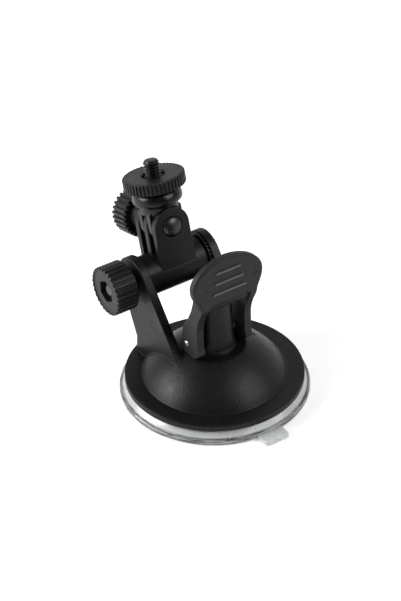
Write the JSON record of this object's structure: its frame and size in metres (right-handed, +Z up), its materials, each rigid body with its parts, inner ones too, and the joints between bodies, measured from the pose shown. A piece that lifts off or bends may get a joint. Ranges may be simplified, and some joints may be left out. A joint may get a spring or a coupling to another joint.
{
  "type": "suction cup camera mount",
  "caption": "Suction-cup windscreen mount for a small dash camera, with a cam lock lever, a swivelling pivot barrel, a tilting screw head and hand knobs.",
  "frame": {"origin": "centre of the suction cup's flat underside", "axes": "+Z up, away from the glass; +X along the pivot barrel, away from the clamp knob; -Y towards the front, where the lock lever folds down and the pull tab is"},
  "size_m": [0.076, 0.1046, 0.0852],
  "materials": {
    "clear_pvc": "clear soft PVC, slightly milky",
    "black_plastic": "fine spark-grained moulding",
    "gloss_black_plastic": "polished moulding",
    "knob_plastic": "satin moulding with ribs",
    "lever_plastic": "fine grained moulding",
    "bright_steel": "zinc plated",
    "dark_steel": "blackened",
    "dark_bolt": "black nickel plated",
    "brass_insert": "turned"
  },
  "bodies": {
    "base": {"suction_cup": "clear_pvc", "base_cover": "black_plastic", "clamp_bolt": "bright_steel", "clamp_washer": "bright_steel", "serrated_washer": "dark_steel"},
    "lift_stud": {"cup_stud": "black_plastic", "lever_pin": "bright_steel"},
    "lever": {"lock_lever": "lever_plastic"},
    "barrel": {"pivot_barrel": "black_plastic", "tilt_bolt": "dark_bolt", "tilt_washer": "bright_steel"},
    "head": {"tilt_head": "gloss_black_plastic", "camera_screw": "dark_bolt"},
    "wheel": {"lock_wheel": "knob_plastic", "wheel_insert": "brass_insert"},
    "clamp_knob_body": {"clamp_knob": "knob_plastic", "clamp_nut": "bright_steel"},
    "tilt_knob_body": {"tilt_knob": "knob_plastic", "tilt_nut": "bright_steel"}
  },
  "joints": [
    {"name": "stud_lift", "type": "slide", "parent": "base", "child": "lift_stud", "axis": [0, 0, 1], "range_m": [0, 0.00441]},
    {"name": "lever_lock", "type": "hinge", "parent": "lift_stud", "child": "lever", "pos_m": [0, 0, 0.0264], "axis": [1, 0, 0], "range_deg": [0, 85]},
    {"name": "barrel_swivel", "type": "hinge", "parent": "base", "child": "barrel", "pos_m": [0, 0.0304, 0.0407], "axis": [1, 0, 0], "range_deg": [-88, 60]},
    {"name": "head_tilt", "type": "hinge", "parent": "barrel", "child": "head", "pos_m": [0, 0.03548, 0.0589], "axis": [0, 0.9632, -0.2689], "range_deg": [-55, 55]},
    {"name": "lock_wheel_turn", "type": "hinge", "parent": "head", "child": "wheel", "pos_m": [0, 0.04032, 0.07624], "axis": [0, 0.2689, 0.9632], "continuous": true},
    {"name": "clamp_knob_turn", "type": "hinge", "parent": "base", "child": "clamp_knob_body", "pos_m": [-0.025, 0.0304, 0.0407], "axis": [1, 0, 0], "continuous": true},
    {"name": "tilt_knob_turn", "type": "hinge", "parent": "barrel", "child": "tilt_knob_body", "pos_m": [0, 0.05378, 0.05379], "axis": [0, 0.9632, -0.2689], "continuous": true}
  ],
  "couplings": [
    {"joint": "stud_lift", "follows": "lever_lock", "m_per_rad": 0.0029659}
  ]
}
